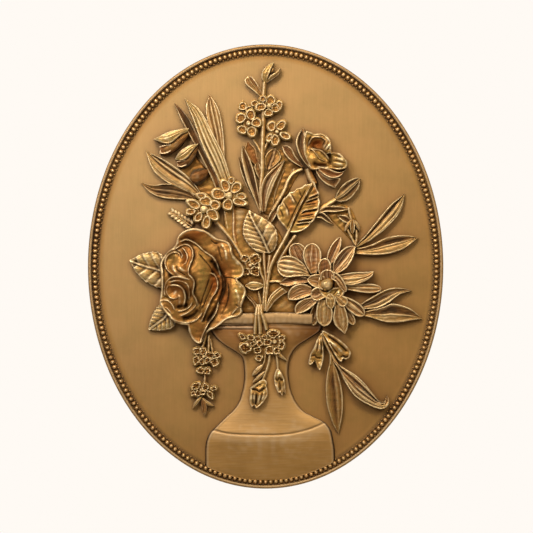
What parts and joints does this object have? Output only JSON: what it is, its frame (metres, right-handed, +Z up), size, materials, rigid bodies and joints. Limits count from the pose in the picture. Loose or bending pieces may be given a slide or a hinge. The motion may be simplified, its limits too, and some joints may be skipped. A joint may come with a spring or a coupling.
{
  "type": "relief wall plaque",
  "caption": "Oval cast wall plaque with a beaded rim and a vase of garden flowers in high relief, in an antique gold finish; flat back for hanging.",
  "frame": {"origin": "middle of the oval on the flat back face, where the plaque lies against the wall", "axes": "+X to the viewer's right, +Y into the wall (the front looks along -Y), +Z up along the oval's long axis"},
  "size_m": [0.32, 0.0385, 0.4],
  "materials": {
    "antique_gold_casting": "cast resin with a brushed antique gold coating, dark in the hollows and pale on the crests"
  },
  "bodies": {
    "root": {"floral_plaque": "antique_gold_casting"}
  },
  "joints": []
}
